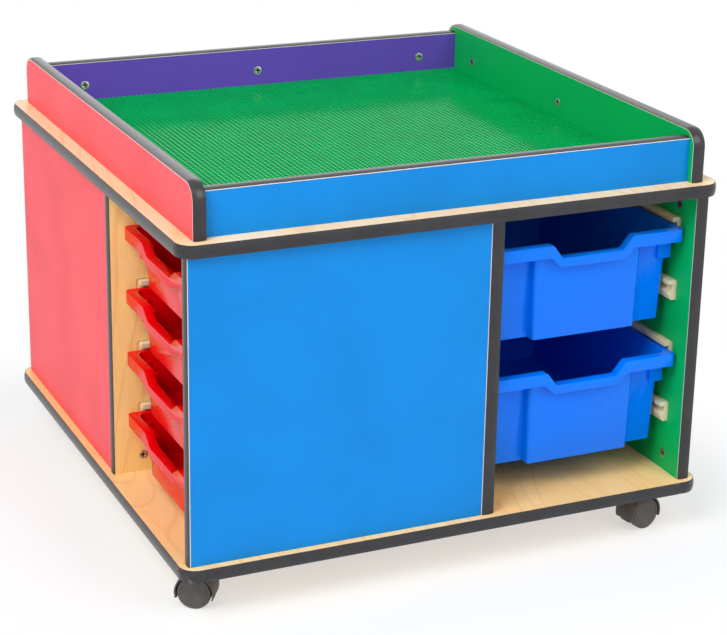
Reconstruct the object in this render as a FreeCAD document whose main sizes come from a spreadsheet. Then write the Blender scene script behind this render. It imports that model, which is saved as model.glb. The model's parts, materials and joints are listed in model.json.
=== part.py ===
import FreeCAD, Part
import math
import os
import re

import Sketcher
from FreeCAD import Placement, Rotation, Vector

# A square play and project table on four castors. Two square boards carry a pinwheel of four coloured
# panels and four plain dividers, which leaves one tray bay open on each side. A low wall of upstands
# round the top holds studded building plates. +X runs along the front to the right, +Y to the back,
# +Z up, and the origin is on the floor under the middle of the table. Lengths are in millimetres.

SIZES = {
    # Boards and their edging
    "board_thickness": 19,
    "square_board_width": 845,
    "board_corner_radius": 25,
    "carcass_inset": 12.5,
    "bay_width": 322,
    "panel_height": 460,
    "edging_proud": 2.5,
    "edging_shoulder": 0.8,
    "tongue_depth": 8,
    "tongue_thickness": 2.2,
    "tongue_clearance": 0.2,
    # Upstands round the top, and the building plates between them
    "side_upstand_inset": 23,
    "side_upstand_end_inset": 16.5,
    "side_upstand_height": 77.5,
    "upstand_corner_radius": 25,
    "front_upstand_inset": 27.5,
    "front_upstand_height": 66,
    "plate_thickness": 2,
    "plate_gap": 0.5,
    # Tray runners in their routed grooves
    "runner_height": 32,
    "runner_reach": 12,
    "runner_web": 6.5,
    "runner_recess": 3,
    "runner_setback": 43,
    "runner_back_gap": 6,
    "runner_head_gap": 46,
    "runner_lip": 6.5,
    "runner_shelf_drop": 17.3,
    "runner_shelf_lip": 3,
    "runner_heel": 6,
    "groove_clearance": 1.2,
    "groove_lead": 4,
    "groove_radius": 3.5,
    # Trays
    "tray_rim_clearance": 5,
    "tray_body_clearance": 1,
    "tray_slide_clearance": 0.3,
    "tray_setback": 19.5,
    "tray_back_gap": 13.5,
    "tray_stack_gap": 25,
    "tray_foot_gap": 27.3,
    "tray_wall": 2.5,
    "tray_floor": 3,
    "tray_rim_thickness": 3,
    "tray_rim_height": 5.3,
    "tray_rim_radius": 8,
    "tray_rim_back": 10,
    "tray_corner_radius": 14,
    "tray_draft": 3.2,
    "tray_lip_height": 19,
    "tray_lip_thickness": 3,
    "tray_lip_return": 14,
    "tray_shoulder_setback": 11.5,
    "tray_shoulder_height": 18,
    "tray_front_setback": 12,
    "tray_front_width": 183,
    "tray_front_radius": 9,
    "tray_front_draft": 1.9,
    "tray_corner_setback": 26,
    "tray_wing_width": 22,
    "tray_wing_setback": 23,
    "tray_wing_height": 50,
    "dip_lip_height": 14,
    "dip_lip_margin": 3,
    "dip_bend": 1.5,
    "dip_bend_share": 0.07,
    "deep_dip_width": 135,
    "deep_dip_floor": 103,
    "deep_dip_depth": 21,
    "shallow_dip_width": 145,
    "shallow_dip_floor": 98,
    "shallow_dip_depth": 16,
    "label_slit_spread": 85,
    "label_slit_top": 29,
    "label_slit_length": 8,
    "label_slit_width": 1.8,
    "label_slit_lean": 1.5,
    # Cam fittings that hold the boards together
    "cam_diameter": 15,
    "cam_depth": 13.2,
    "cam_clearance": 0.1,
    "cam_slot_width": 1.8,
    "cam_slot_length": 9,
    "cam_slot_depth": 2.5,
    "cam_edge_inset": 27,
    "cam_end_inset": 46,
    "upstand_cam_inset": 71.5,
    "bolt_diameter": 6,
    "bolt_bite": 11,
    "bolt_cam_gap": 0.3,
    "bolt_clearance": 0.1,
    # Castors
    "castor_height": 67.5,
    "castor_inset": 56,
    "castor_plate_width": 42,
    "castor_plate_thickness": 2.5,
    "castor_screw_spread": 30,
    "screw_diameter": 4,
    "screw_head_diameter": 7.5,
    "screw_head_height": 2,
    "screw_bite": 12,
    "screw_clearance": 0.1,
    "stem_diameter": 8,
    "stem_drop": 34,
    "castor_trail": 18,
    "castor_width": 39,
    "wheel_diameter": 50,
    "wheel_edge_radius": 3,
    "wheel_gap": 13,
    "web_clearance": 0.4,
    "hood_clearance": 2,
    "hood_wall": 2.2,
    "hood_drop": 9,
    "hood_hole_diameter": 4,
    "hood_hole_rise": 16,
    "hood_hole_depth": 10,
    "hood_boss_diameter": 22,
    "hood_boss_depth": 22,
    "hood_plate_gap": 0.5,
    "axle_diameter": 6,
    "wheel_cap": 3,
    "axle_end_gap": 0.3,
    "running_clearance": 0.05,
}

RUNNER_LEVELS = 4
DEEP_TRAYS = ("lower", "upper")
SIDES = ("front", "right", "back", "left")
QUARTER_TURN = 90
CASTOR_CORNERS = {"front_left": (-1, -1), "front_right": (1, -1), "back_right": (1, 1),
                  "back_left": (-1, 1)}
CASTOR_SWIVEL = {"front_left": 147, "front_right": 192, "back_right": 70, "back_left": 20}

doc = FreeCAD.newDocument("project_table")
sizes = doc.addObject("Spreadsheet::Sheet", "sizes")
for row, (alias, number) in enumerate(SIZES.items(), 1):
    sizes.set(f"A{row}", alias)
    sizes.set(f"B{row}", str(number))
    sizes.setAlias(f"B{row}", alias)
doc.recompute()

# Places that follow from the driving sizes, as expressions on them
BOARD_EDGE = "(square_board_width / 2)"
FACE = f"({BOARD_EDGE} - carcass_inset)"
BAY_WALL = f"({FACE} - board_thickness)"
DIVIDER_FACE = f"({BAY_WALL} - bay_width)"
DIVIDER_BACK = f"({DIVIDER_FACE} - board_thickness)"
BAY_MIDDLE = f"({BAY_WALL} - bay_width / 2)"
BAY_DEPTH = f"({FACE} + {DIVIDER_BACK})"
BASE_TOP = "(castor_height + board_thickness)"
TOP_UNDERSIDE = f"({BASE_TOP} + panel_height)"
TOP_SURFACE = f"({TOP_UNDERSIDE} + board_thickness)"
SLOT = "(tongue_thickness + 2 * tongue_clearance)"
SLOT_DEPTH = "(tongue_depth + tongue_clearance)"
SIDE_FACE = f"({BOARD_EDGE} - side_upstand_inset)"
FRONT_FACE = f"({BOARD_EDGE} - front_upstand_inset)"
WELL_SIDE = f"({SIDE_FACE} - board_thickness)"
WELL_FRONT = f"({FRONT_FACE} - board_thickness)"
UPSTAND_END = f"({BOARD_EDGE} - side_upstand_end_inset)"
UPSTAND_CAM = f"({WELL_SIDE} - upstand_cam_inset)"
RIM_ON_SHELF = "(tray_slide_clearance + tray_rim_height)"
TOP_RIM = f"(panel_height - runner_head_gap - runner_shelf_drop + {RIM_ON_SHELF})"
RUNNER_PITCH = f"(({TOP_RIM} + tray_stack_gap - tray_foot_gap) / {RUNNER_LEVELS})"
TRAY_WIDTH = "(bay_width - 2 * tray_rim_clearance)"
TRAY_BODY = "(bay_width - 2 * (runner_reach + tray_body_clearance))"
TRAY_DEPTH = f"({BAY_DEPTH} - tray_setback - tray_back_gap)"
SHALLOW_HEIGHT = f"({RUNNER_PITCH} - tray_stack_gap)"
DEEP_HEIGHT = f"(2 * {SHALLOW_HEIGHT})"
WHEEL_RADIUS = "(wheel_diameter / 2)"
HOOD_RADIUS = f"({WHEEL_RADIUS} + hood_clearance + hood_wall)"
HOOD_WEB = "(wheel_gap - 2 * web_clearance)"
PLATE_UNDERSIDE = "(castor_height - castor_plate_thickness)"


def ex(text):
    """Writes an expression on the sheet's own names in the form that the document's objects read."""
    return re.sub(r"[a-z_]+", lambda word: f"sizes.{word[0]}" if word[0] in SIZES else word[0], text)


def value(text):
    """The number that an expression on the sheet's names gives now."""
    return float(sizes.evalExpression(ex(text)))


def new_body(label):
    body = doc.addObject("PartDesign::Body", label)
    body.Label = label
    return body


def new_sketch(body, plane, offset="0", across="0"):
    """A sketch on one of the body's own planes, moved along the plane's normal and its first axis."""
    sketch = body.newObject("Sketcher::SketchObject", f"{body.Name}_sketch")
    support = next(feature for feature in body.Origin.OriginFeatures if feature.Role == plane)
    sketch.AttachmentSupport = [(support, "")]
    sketch.MapMode = "FlatFace"
    sketch.setExpression("AttachmentOffset.Base.x", ex(across))
    sketch.setExpression("AttachmentOffset.Base.z", ex(offset))
    return sketch


def tie(sketch, expression, kind, *places):
    """Adds a dimension to the sketch and binds it to the sheet."""
    datum = sketch.addConstraint(Sketcher.Constraint(kind, *places, value(expression)))
    sketch.setExpression(f"Constraints[{datum}]", ex(expression))


def pin(sketch, geometry, point, spot):
    """Ties both coordinates of a point to a pair of expressions."""
    for kind, expression in zip(("DistanceX", "DistanceY"), spot):
        tie(sketch, expression, kind, -1, 1, geometry, point)


def outline(sketch, corners, bulge=None):
    """A closed outline through corners. Bulge makes one side an arc: (side, middle, radius)."""
    spots = [Vector(value(x), value(y), 0) for x, y in corners]
    first = sketch.GeometryCount
    for side, (start, end) in enumerate(zip(spots, spots[1:] + spots[:1])):
        if bulge and side == bulge[0]:
            middle = Vector(value(bulge[1][0]), value(bulge[1][1]), 0)
            sketch.addGeometry(Part.Arc(start, middle, end), False)
        else:
            sketch.addGeometry(Part.LineSegment(start, end), False)
    for side, corner in enumerate(corners):
        before = (side or len(spots)) - 1
        ends = [(first + near, end_at(sketch, first + near, spots[side])) for near in (side, before)]
        sketch.addConstraint(Sketcher.Constraint("Coincident", *ends[0], *ends[1]))
        pin(sketch, *ends[0], corner)
    if bulge:
        tie(sketch, bulge[2], "Radius", first + bulge[0])


def end_at(sketch, geometry, spot):
    """Which end of a line or arc lies at a spot: 1 for its start, 2 for its end."""
    curve = sketch.Geometry[geometry]
    return 1 if curve.StartPoint.distanceToPoint(spot) < curve.EndPoint.distanceToPoint(spot) else 2


def rectangle(sketch, left, right, bottom, top):
    outline(sketch, [(left, bottom), (right, bottom), (right, top), (left, top)])


def rounded_rectangle(sketch, left, right, bottom, top, radius):
    """Four lines and four equal tangent arcs, counterclockwise from the bottom line."""
    low = Vector(value(left), value(bottom), 0)
    high = Vector(value(right), value(top), 0)
    round_ = value(radius)
    inner = [Vector(high.x - round_, low.y + round_, 0), Vector(high.x - round_, high.y - round_, 0),
             Vector(low.x + round_, high.y - round_, 0), Vector(low.x + round_, low.y + round_, 0)]
    first = sketch.GeometryCount
    for side, centre in enumerate(inner):
        outward = Rotation(Vector(0, 0, 1), QUARTER_TURN * (side - 1)).multVec(Vector(round_, 0, 0))
        sketch.addGeometry(Part.LineSegment(inner[side - 1] + outward, centre + outward), False)
        start = math.radians(QUARTER_TURN * (side - 1))
        arc = Part.ArcOfCircle(Part.Circle(centre, Vector(0, 0, 1), round_), start, start + math.pi / 2)
        sketch.addGeometry(arc, False)
    for side in range(4):
        line, arc = first + 2 * side, first + 2 * side + 1
        following = first + (2 * side + 2) % 8
        sketch.addConstraint(Sketcher.Constraint("Tangent", line, 2, arc, 1))
        sketch.addConstraint(Sketcher.Constraint("Tangent", arc, 2, following, 1))
        sketch.addConstraint(Sketcher.Constraint("Vertical" if side % 2 else "Horizontal", line))
        if side:
            sketch.addConstraint(Sketcher.Constraint("Equal", first + 1, arc))
    tie(sketch, radius, "Radius", first + 1)
    for side, edge in enumerate((bottom, right, top, left)):
        tie(sketch, edge, "DistanceX" if side % 2 else "DistanceY", -1, 1, first + 2 * side, 1)


def arch(sketch, ends, foot, crest, radius):
    """An open path from a foot, round a corner, along the crest and round a corner to the other foot."""
    near, far, low, high, bend = (value(text) for text in (*ends, foot, crest, radius))
    turn = high - math.copysign(bend, high - low)
    places = (near, low), (near, turn), (near + bend, high), (far - bend, high), (far, turn), (far, low)
    spots = [Vector(x, y, 0) for x, y in places]
    first = sketch.GeometryCount
    left, left_arc, ridge, right_arc, right = range(first, first + 5)
    for place, (start, end) in enumerate(zip(spots, spots[1:]), first):
        if place in (left_arc, right_arc):
            centre = Vector(near + bend if place == left_arc else far - bend, turn, 0)
            middle = centre + (start + end - centre * 2).normalize() * bend
            counterclockwise = (start, middle, end) if high < low else (end, middle, start)
            sketch.addGeometry(Part.Arc(*counterclockwise), False)
        else:
            sketch.addGeometry(Part.LineSegment(start, end), False)
    for place, spot in enumerate(spots[1:-1], first):
        ends_here = [part for curve in (place, place + 1) for part in (curve, end_at(sketch, curve, spot))]
        sketch.addConstraint(Sketcher.Constraint("Tangent", *ends_here))
    sketch.addConstraint(Sketcher.Constraint("Vertical", left))
    sketch.addConstraint(Sketcher.Constraint("Vertical", right))
    sketch.addConstraint(Sketcher.Constraint("Horizontal", ridge))
    sketch.addConstraint(Sketcher.Constraint("Equal", left_arc, right_arc))
    tie(sketch, radius, "Radius", left_arc)
    tie(sketch, crest, "DistanceY", -1, 1, ridge, 1)
    pin(sketch, left, 1, (ends[0], foot))
    pin(sketch, right, 2, (ends[1], foot))
    return first


def bridge(sketch, one, other):
    """A straight line between two ends, each given as a curve and its end."""
    curves = [(sketch.Geometry[curve], end) for curve, end in (one, other)]
    spots = [curve.StartPoint if end == 1 else curve.EndPoint for curve, end in curves]
    line = sketch.addGeometry(Part.LineSegment(*spots), False)
    sketch.addConstraint(Sketcher.Constraint("Coincident", line, 1, *one))
    sketch.addConstraint(Sketcher.Constraint("Coincident", line, 2, *other))


def close_foot(sketch, first):
    """Joins the two feet of an arch with a straight line."""
    bridge(sketch, (first + 4, 2), (first, 1))


def circle(sketch, x, y, radius):
    centre = Vector(value(x), value(y), 0)
    ring = sketch.addGeometry(Part.Circle(centre, Vector(0, 0, 1), value(radius)), False)
    pin(sketch, ring, 3, (x, y))
    tie(sketch, radius, "Radius", ring)


def extrude(body, sketch, length, backward=False, taper=None, cut=False):
    """A pad or, with cut, a pocket. It runs along the sketch's normal, or against it with backward."""
    doc.recompute()
    before = body.Shape.Volume if body.Tip else 0.0
    feature = body.newObject("PartDesign::Pocket" if cut else "PartDesign::Pad", f"{body.Name}_feature")
    feature.Profile = sketch
    feature.setExpression("Length", ex(length))
    feature.Reversed = backward != cut
    if taper:
        feature.setExpression("TaperAngle", ex(taper))
    doc.recompute()
    change = body.Shape.Volume - before
    if (change >= 0) == cut:
        raise RuntimeError(f"{body.Label}: a {'cut' if cut else 'pad'} changed nothing")
    return feature


def pattern_round(body, feature, count):
    """Repeats a feature round the body's Z axis."""
    pattern = body.newObject("PartDesign::PolarPattern", f"{body.Name}_pattern")
    pattern.Originals = [feature]
    axis = next(item for item in body.Origin.OriginFeatures if item.Role == "Z_Axis")
    pattern.Axis = (axis, [""])
    pattern.Angle = 360
    pattern.Occurrences = count
    body.Tip = pattern
    doc.recompute()


def edging_profile(sketch, edge, outward):
    """The section of push-in edging: a domed cap over the board's edge and a tongue in the board's slot.

    edge is the middle of the board's edge, and outward is the sketch axis that points away from the board.
    """
    half, tongue = "board_thickness / 2", "tongue_thickness / 2"
    corners = [("0", f"-{half}"), ("edging_shoulder", f"-{half}"), ("edging_shoulder", half),
               ("0", half), ("0", tongue), ("-tongue_depth", tongue), ("-tongue_depth", f"-{tongue}"),
               ("0", f"-{tongue}")]

    def place(out, across):
        terms = ((outward[0], out), (-outward[1], across)), ((outward[1], out), (outward[0], across))
        return tuple(f"{start} + ({a}) * ({first}) + ({b}) * ({second})"
                     for start, ((a, first), (b, second)) in zip(edge, terms))

    rise = "(edging_proud - edging_shoulder)"
    radius = f"((board_thickness / 2)^2 + {rise}^2) / (2 * {rise})"
    outline(sketch, [place(*corner) for corner in corners], (1, place("edging_proud", "0"), radius))


def copies(label, master, spots):
    """A group of separate solids: one copy of the master's shape at each placement."""
    group = doc.addObject("Part::Feature", label)
    solids = []
    for spot in spots:
        solid = master.Shape.copy()
        solid.Placement = spot.multiply(solid.Placement)
        solids.append(solid)
    group.Shape = Part.makeCompound(solids)
    group.Label = label
    return group


def placed(label, parts, turn=0, x="0", y="0", z="0"):
    """One piece, or several solids of one piece, turned about Z and moved to its place."""
    piece = doc.addObject("Part::Compound", label)
    piece.Label = label
    piece.Links = parts
    piece.Placement = Placement(Vector(), Rotation(Vector(0, 0, 1), turn))
    for axis, expression in zip("xyz", (x, y, z)):
        piece.setExpression(f"Placement.Base.{axis}", ex(expression))
    return piece


def bar(label, radius, length, x="0", y="0", z="0", along="Z"):
    """A round bar from a point, along one axis."""
    rod = doc.addObject("Part::Cylinder", label)
    if along != "Z":
        way = Vector(1, 0, 0) if along == "X" else Vector(0, 1, 0)
        rod.Placement = Placement(Vector(), Rotation(Vector(0, 0, 1), way))
    rod.setExpression("Radius", ex(radius))
    rod.setExpression("Height", ex(length))
    for axis, expression in zip("xyz", (x, y, z)):
        rod.setExpression(f"Placement.Base.{axis}", ex(expression))
    return rod


def block(label, low, high):
    """A box between two corners."""
    box = doc.addObject("Part::Box", label)
    for size, axis, start, end in zip(("Length", "Width", "Height"), "xyz", low, high):
        box.setExpression(size, ex(f"({end}) - ({start})"))
        box.setExpression(f"Placement.Base.{axis}", ex(start))
    return box


def combine(kind, label, base, tool):
    """A cut or fuse of two objects."""
    result = doc.addObject(f"Part::{kind}", label)
    result.Base = base
    result.Tool = tool
    return result


def fuse(label, pieces):
    whole = doc.addObject("Part::MultiFuse", label)
    whole.Shapes = pieces
    return whole


nodes = {}


def hand_in(*pieces):
    """Marks finished pieces, each of which becomes one file named by its label."""
    for piece in pieces:
        nodes[piece.Label] = piece


def panel_cams():
    """Places of the cams along a panel, measured from its outer end: one near each end."""
    return "cam_end_inset", f"({BAY_DEPTH} - cam_end_inset)"


# Square boards: the base and the table top, each with a slot all round its edge for the edging


def board_outline(sketch):
    reach = f"-{BOARD_EDGE}", BOARD_EDGE
    rounded_rectangle(sketch, *reach, *reach, "board_corner_radius")


def square_board(label, underside):
    body = new_body(label)
    sketch = new_sketch(body, "XY_Plane", underside)
    board_outline(sketch)
    extrude(body, sketch, "board_thickness")
    slot = new_sketch(body, "XY_Plane", f"{underside} + (board_thickness - {SLOT}) / 2")
    floor = f"({BOARD_EDGE} - {SLOT_DEPTH})"
    beyond = f"({BOARD_EDGE} + edging_proud)"
    for reach, radius in ((beyond, "board_corner_radius + edging_proud"),
                          (floor, f"board_corner_radius - {SLOT_DEPTH}")):
        rounded_rectangle(slot, f"-{reach}", reach, f"-{reach}", reach, radius)
    extrude(body, slot, SLOT, cut=True)
    return body


def drill(body, height, depth, spots, radius, backward, count):
    """Blind holes from a level, repeated round the table."""
    sketch = new_sketch(body, "XY_Plane", height)
    for x, y in spots:
        circle(sketch, x, y, radius)
    pattern_round(body, extrude(body, sketch, depth, backward, cut=True), count)


def carcass_bolt_spots():
    """Bolts of the front panel and of the front divider, in plan."""
    panel_line = f"-({FACE} - board_thickness / 2)"
    divider_line = f"({DIVIDER_FACE} - board_thickness / 2)"
    along_panel = [(f"{place} - {FACE}", panel_line) for place in panel_cams()]
    along_divider = [(divider_line, f"{place} - {FACE}") for place in panel_cams()]
    return along_panel + along_divider


def upstand_bolt_spots():
    """Bolts of the left and of the front upstand, in plan."""
    side_line = f"-({SIDE_FACE} - board_thickness / 2)"
    front_line = f"-({FRONT_FACE} - board_thickness / 2)"
    spread = (f"-{UPSTAND_CAM}", "0", UPSTAND_CAM)
    return [(side_line, place) for place in spread] + [(place, front_line) for place in spread]


def castor_screw_spots():
    """The four screws of the castor at the front left corner, in plan."""
    middle = f"castor_inset - {BOARD_EDGE}"
    ends = [f"{middle} - castor_screw_spread / 2", f"{middle} + castor_screw_spread / 2"]
    return [(x, y) for x in ends for y in ends]


BOLT_HOLE = "bolt_diameter / 2 + bolt_clearance"
SCREW_HOLE = "screw_diameter / 2 + screw_clearance"
base_board = square_board("base_board", "castor_height")
drill(base_board, BASE_TOP, "bolt_bite", carcass_bolt_spots(), BOLT_HOLE, True, 4)
drill(base_board, "castor_height", "screw_bite", castor_screw_spots(), SCREW_HOLE, False, 4)
table_top = square_board("table_top", TOP_UNDERSIDE)
drill(table_top, TOP_UNDERSIDE, "bolt_bite", carcass_bolt_spots(), BOLT_HOLE, False, 4)
drill(table_top, TOP_SURFACE, "bolt_bite", upstand_bolt_spots(), BOLT_HOLE, True, 2)
hand_in(base_board, table_top)


def square_edging(label, underside):
    """Edging bent all the way round a square board."""
    body = new_body(label)
    middle = f"({underside} + board_thickness / 2)"
    path = new_sketch(body, "XY_Plane", middle)
    board_outline(path)
    profile = new_sketch(body, "YZ_Plane", f"board_corner_radius - {BOARD_EDGE}")
    edging_profile(profile, (f"-{BOARD_EDGE}", middle), (-1, 0))
    doc.recompute()
    strip = body.newObject("PartDesign::AdditivePipe", f"{label}_strip")
    strip.Profile = profile
    strip.Spine = (path, [f"Edge{edge + 1}" for edge in range(path.GeometryCount)])
    doc.recompute()
    return body


hand_in(square_edging("base_board_edging", "castor_height"))
hand_in(square_edging("table_top_edging", TOP_UNDERSIDE))

# Panels and dividers: each carries the runners of one wall of a bay in routed grooves, has cams near its
# corners, and has edging in its outer end. The front ones are drawn, and the others are turned copies.


def runner_tops():
    """Heights of the runners' tops above the base board, from the lowest level up."""
    return [f"(panel_height - runner_head_gap - {below} * {RUNNER_PITCH})"
            for below in reversed(range(RUNNER_LEVELS))]


def routed_board(label, plan, end_slot, plane, face, cut_backward):
    """A panel or divider from its plan, with slot, grooves, cam holes and bolt holes."""
    body = new_body(label)
    sketch = new_sketch(body, "XY_Plane", BASE_TOP)
    rectangle(sketch, *plan)
    extrude(body, sketch, "panel_height")
    slot = new_sketch(body, "XY_Plane", BASE_TOP)
    rectangle(slot, *end_slot)
    extrude(body, slot, "panel_height", cut=True)

    grooves = new_sketch(body, plane, face)
    start = f"(runner_setback - groove_lead - {FACE})"
    end = f"({BAY_DEPTH} - runner_back_gap + groove_clearance - {FACE})"
    for top in runner_tops():
        high = f"({BASE_TOP} + {top} + groove_clearance)"
        low = f"({high} - runner_height - 2 * groove_clearance)"
        rounded_rectangle(grooves, start, end, low, high, "groove_radius")
    extrude(body, grooves, "runner_recess", cut_backward, cut=True)

    cams = new_sketch(body, plane, face)
    for place in panel_cams():
        for height in (f"{BASE_TOP} + cam_edge_inset", f"{TOP_UNDERSIDE} - cam_edge_inset"):
            circle(cams, f"{place} - {FACE}", height, "cam_diameter / 2 + cam_clearance")
    extrude(body, cams, "cam_depth + cam_clearance", cut_backward, cut=True)
    return body


def bolt_holes(body, spots):
    """Bolt holes from both ends of an upright board to its cams."""
    for height, backward in ((BASE_TOP, False), (TOP_UNDERSIDE, True)):
        sketch = new_sketch(body, "XY_Plane", height)
        for x, y in spots:
            circle(sketch, x, y, BOLT_HOLE)
        extrude(body, sketch, "cam_edge_inset", backward, cut=True)


panel_middle = f"-({FACE} - board_thickness / 2)"
divider_middle = f"({DIVIDER_FACE} - board_thickness / 2)"
slot_half = f"{SLOT} / 2"
front_panel = routed_board(
    "panel_master", (f"-{FACE}", DIVIDER_BACK, f"-{FACE}", f"-{BAY_WALL}"),
    (f"-{FACE} - edging_proud", f"-{FACE} + {SLOT_DEPTH}", f"{panel_middle} - {slot_half}",
     f"{panel_middle} + {slot_half}"), "XZ_Plane", BAY_WALL, False)
front_divider = routed_board(
    "divider_master", (DIVIDER_BACK, DIVIDER_FACE, f"-{FACE}", DIVIDER_BACK),
    (f"{divider_middle} - {slot_half}", f"{divider_middle} + {slot_half}", f"-{FACE} - edging_proud",
     f"-{FACE} + {SLOT_DEPTH}"), "YZ_Plane", DIVIDER_FACE, True)
bolt_holes(front_panel, carcass_bolt_spots()[:2])
bolt_holes(front_divider, carcass_bolt_spots()[2:])
for quarter, side in enumerate(SIDES):
    hand_in(placed(f"{side}_panel", [front_panel], QUARTER_TURN * quarter))
    hand_in(placed(f"{side}_divider", [front_divider], QUARTER_TURN * quarter))


def upright_edging(label, edge, outward):
    """A straight length of edging for the outer end of an upright board."""
    body = new_body(label)
    sketch = new_sketch(body, "XY_Plane", BASE_TOP)
    edging_profile(sketch, edge, outward)
    extrude(body, sketch, "panel_height")
    return body


def quarter_turns(master, label):
    """The same piece on all four sides, as one group."""
    spots = [Placement(Vector(), Rotation(Vector(0, 0, 1), QUARTER_TURN * quarter)) for quarter in range(4)]
    return copies(label, master, spots)


panel_strip = upright_edging("panel_edging_master", (f"-{FACE}", panel_middle), (-1, 0))
divider_strip = upright_edging("divider_edging_master", (divider_middle, f"-{FACE}"), (0, -1))
hand_in(quarter_turns(panel_strip, "panel_edging"), quarter_turns(divider_strip, "divider_edging"))

# Upstands: the left and right ones run past the ends of the front and back ones and have rounded corners


def upstand_path(sketch, inset, foot):
    """Up one end, round the top and down the other end of a side upstand, drawn in from its edge."""
    end = f"({UPSTAND_END} - {inset})"
    crest = f"({TOP_SURFACE} + side_upstand_height - {inset})"
    return arch(sketch, (f"-{end}", end), foot, crest, f"(upstand_corner_radius - {inset})")


def cam_row(body, plane, face, backward):
    """Cam holes in the inner face of an upstand, with a bolt hole up from the table top to each."""
    sketch = new_sketch(body, plane, face)
    for place in (f"-{UPSTAND_CAM}", "0", UPSTAND_CAM):
        circle(sketch, place, f"{TOP_SURFACE} + cam_edge_inset", "cam_diameter / 2 + cam_clearance")
    extrude(body, sketch, "cam_depth + cam_clearance", backward, cut=True)


def foot_bolt_holes(body, spots):
    sketch = new_sketch(body, "XY_Plane", TOP_SURFACE)
    for x, y in spots:
        circle(sketch, x, y, BOLT_HOLE)
    extrude(body, sketch, "cam_edge_inset", cut=True)


def side_upstand():
    body = new_body("side_upstand_master")
    outer = f"-{SIDE_FACE}"
    sketch = new_sketch(body, "YZ_Plane", outer)
    close_foot(sketch, upstand_path(sketch, "0", TOP_SURFACE))
    extrude(body, sketch, "board_thickness")
    slot = new_sketch(body, "YZ_Plane", f"{outer} + (board_thickness - {SLOT}) / 2")
    close_foot(slot, upstand_path(slot, SLOT_DEPTH, f"({TOP_SURFACE} - edging_proud)"))
    margin = f"({UPSTAND_END} + edging_proud)"
    rectangle(slot, f"-{margin}", margin, f"{TOP_SURFACE} - 2 * edging_proud",
              f"{TOP_SURFACE} + side_upstand_height + edging_proud")
    extrude(body, slot, SLOT, cut=True)
    cam_row(body, "YZ_Plane", f"-{WELL_SIDE}", True)
    foot_bolt_holes(body, upstand_bolt_spots()[:3])
    return body


def side_upstand_edging():
    body = new_body("side_upstand_edging_master")
    middle = f"(board_thickness / 2 - {SIDE_FACE})"
    path = new_sketch(body, "YZ_Plane", middle)
    upstand_path(path, "0", TOP_SURFACE)
    profile = new_sketch(body, "XY_Plane", TOP_SURFACE)
    edging_profile(profile, (middle, f"-{UPSTAND_END}"), (0, -1))
    doc.recompute()
    strip = body.newObject("PartDesign::AdditivePipe", "side_upstand_strip")
    strip.Profile = profile
    strip.Spine = (path, [f"Edge{edge + 1}" for edge in range(path.GeometryCount)])
    doc.recompute()
    return body


def front_upstand():
    body = new_body("front_upstand_master")
    outer, inner = f"-{FRONT_FACE}", f"-{WELL_FRONT}"
    crest = f"({TOP_SURFACE} + front_upstand_height)"
    sketch = new_sketch(body, "YZ_Plane", f"-{WELL_SIDE}")
    rectangle(sketch, outer, inner, TOP_SURFACE, crest)
    extrude(body, sketch, f"2 * {WELL_SIDE}")
    slot = new_sketch(body, "YZ_Plane", f"-{WELL_SIDE}")
    middle = f"({outer} + board_thickness / 2)"
    rectangle(slot, f"{middle} - {slot_half}", f"{middle} + {slot_half}", f"{crest} - {SLOT_DEPTH}",
              f"{crest} + edging_proud")
    extrude(body, slot, f"2 * {WELL_SIDE}", cut=True)
    cam_row(body, "XZ_Plane", WELL_FRONT, False)
    foot_bolt_holes(body, upstand_bolt_spots()[3:])
    return body


def front_upstand_edging():
    body = new_body("front_upstand_edging_master")
    sketch = new_sketch(body, "YZ_Plane", f"-{WELL_SIDE}")
    middle = f"(board_thickness / 2 - {FRONT_FACE})"
    edging_profile(sketch, (middle, f"{TOP_SURFACE} + front_upstand_height"), (0, 1))
    extrude(body, sketch, f"2 * {WELL_SIDE}")
    return body


upstands = {"left": side_upstand(), "front": front_upstand()}
upstand_edgings = {"left": side_upstand_edging(), "front": front_upstand_edging()}
for drawn, opposite in (("left", "right"), ("front", "back")):
    for side, turn in ((drawn, 0), (opposite, 2 * QUARTER_TURN)):
        hand_in(placed(f"{side}_upstand", [upstands[drawn]], turn))
        hand_in(placed(f"{side}_upstand_edging", [upstand_edgings[drawn]], turn))

# Building plates: four studded sheets glued to the table top inside the upstands

for front_or_back, depth_sign in (("front", -1), ("back", 1)):
    for left_or_right, width_sign in (("left", -1), ("right", 1)):
        spans = []
        for sign, reach in ((width_sign, WELL_SIDE), (depth_sign, WELL_FRONT)):
            near, far = "plate_gap / 2", f"({reach} - plate_gap)"
            spans.append((near, far) if sign > 0 else (f"-{far}", f"-{near}"))
        (x_low, x_high), (y_low, y_high) = spans
        hand_in(block(f"building_plate_{front_or_back}_{left_or_right}", (x_low, y_low, TOP_SURFACE),
                      (x_high, y_high, f"{TOP_SURFACE} + plate_thickness")))

# Runners: channels pressed into the grooves of a bay's two walls, which carry the trays by their rims


def runner():
    """A runner for the divider side of the front bay, with its top at zero height."""
    body = new_body("runner_master")
    sketch = new_sketch(body, "XZ_Plane", f"{FACE} - runner_setback")
    back = f"({DIVIDER_FACE} - runner_recess)"
    web = f"({back} + runner_web)"
    tip = f"({DIVIDER_FACE} + runner_reach)"
    shelf = "-runner_shelf_drop"
    foot = "-runner_height"
    outline(sketch, [(back, "0"), (tip, "0"), (tip, "-runner_lip"), (web, "-runner_lip"), (web, shelf),
                     (tip, shelf), (tip, f"{shelf} - runner_shelf_lip"), (f"{tip} - runner_heel", foot),
                     (back, foot)])
    extrude(body, sketch, f"{BAY_DEPTH} - runner_setback - runner_back_gap", True)
    return body


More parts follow.
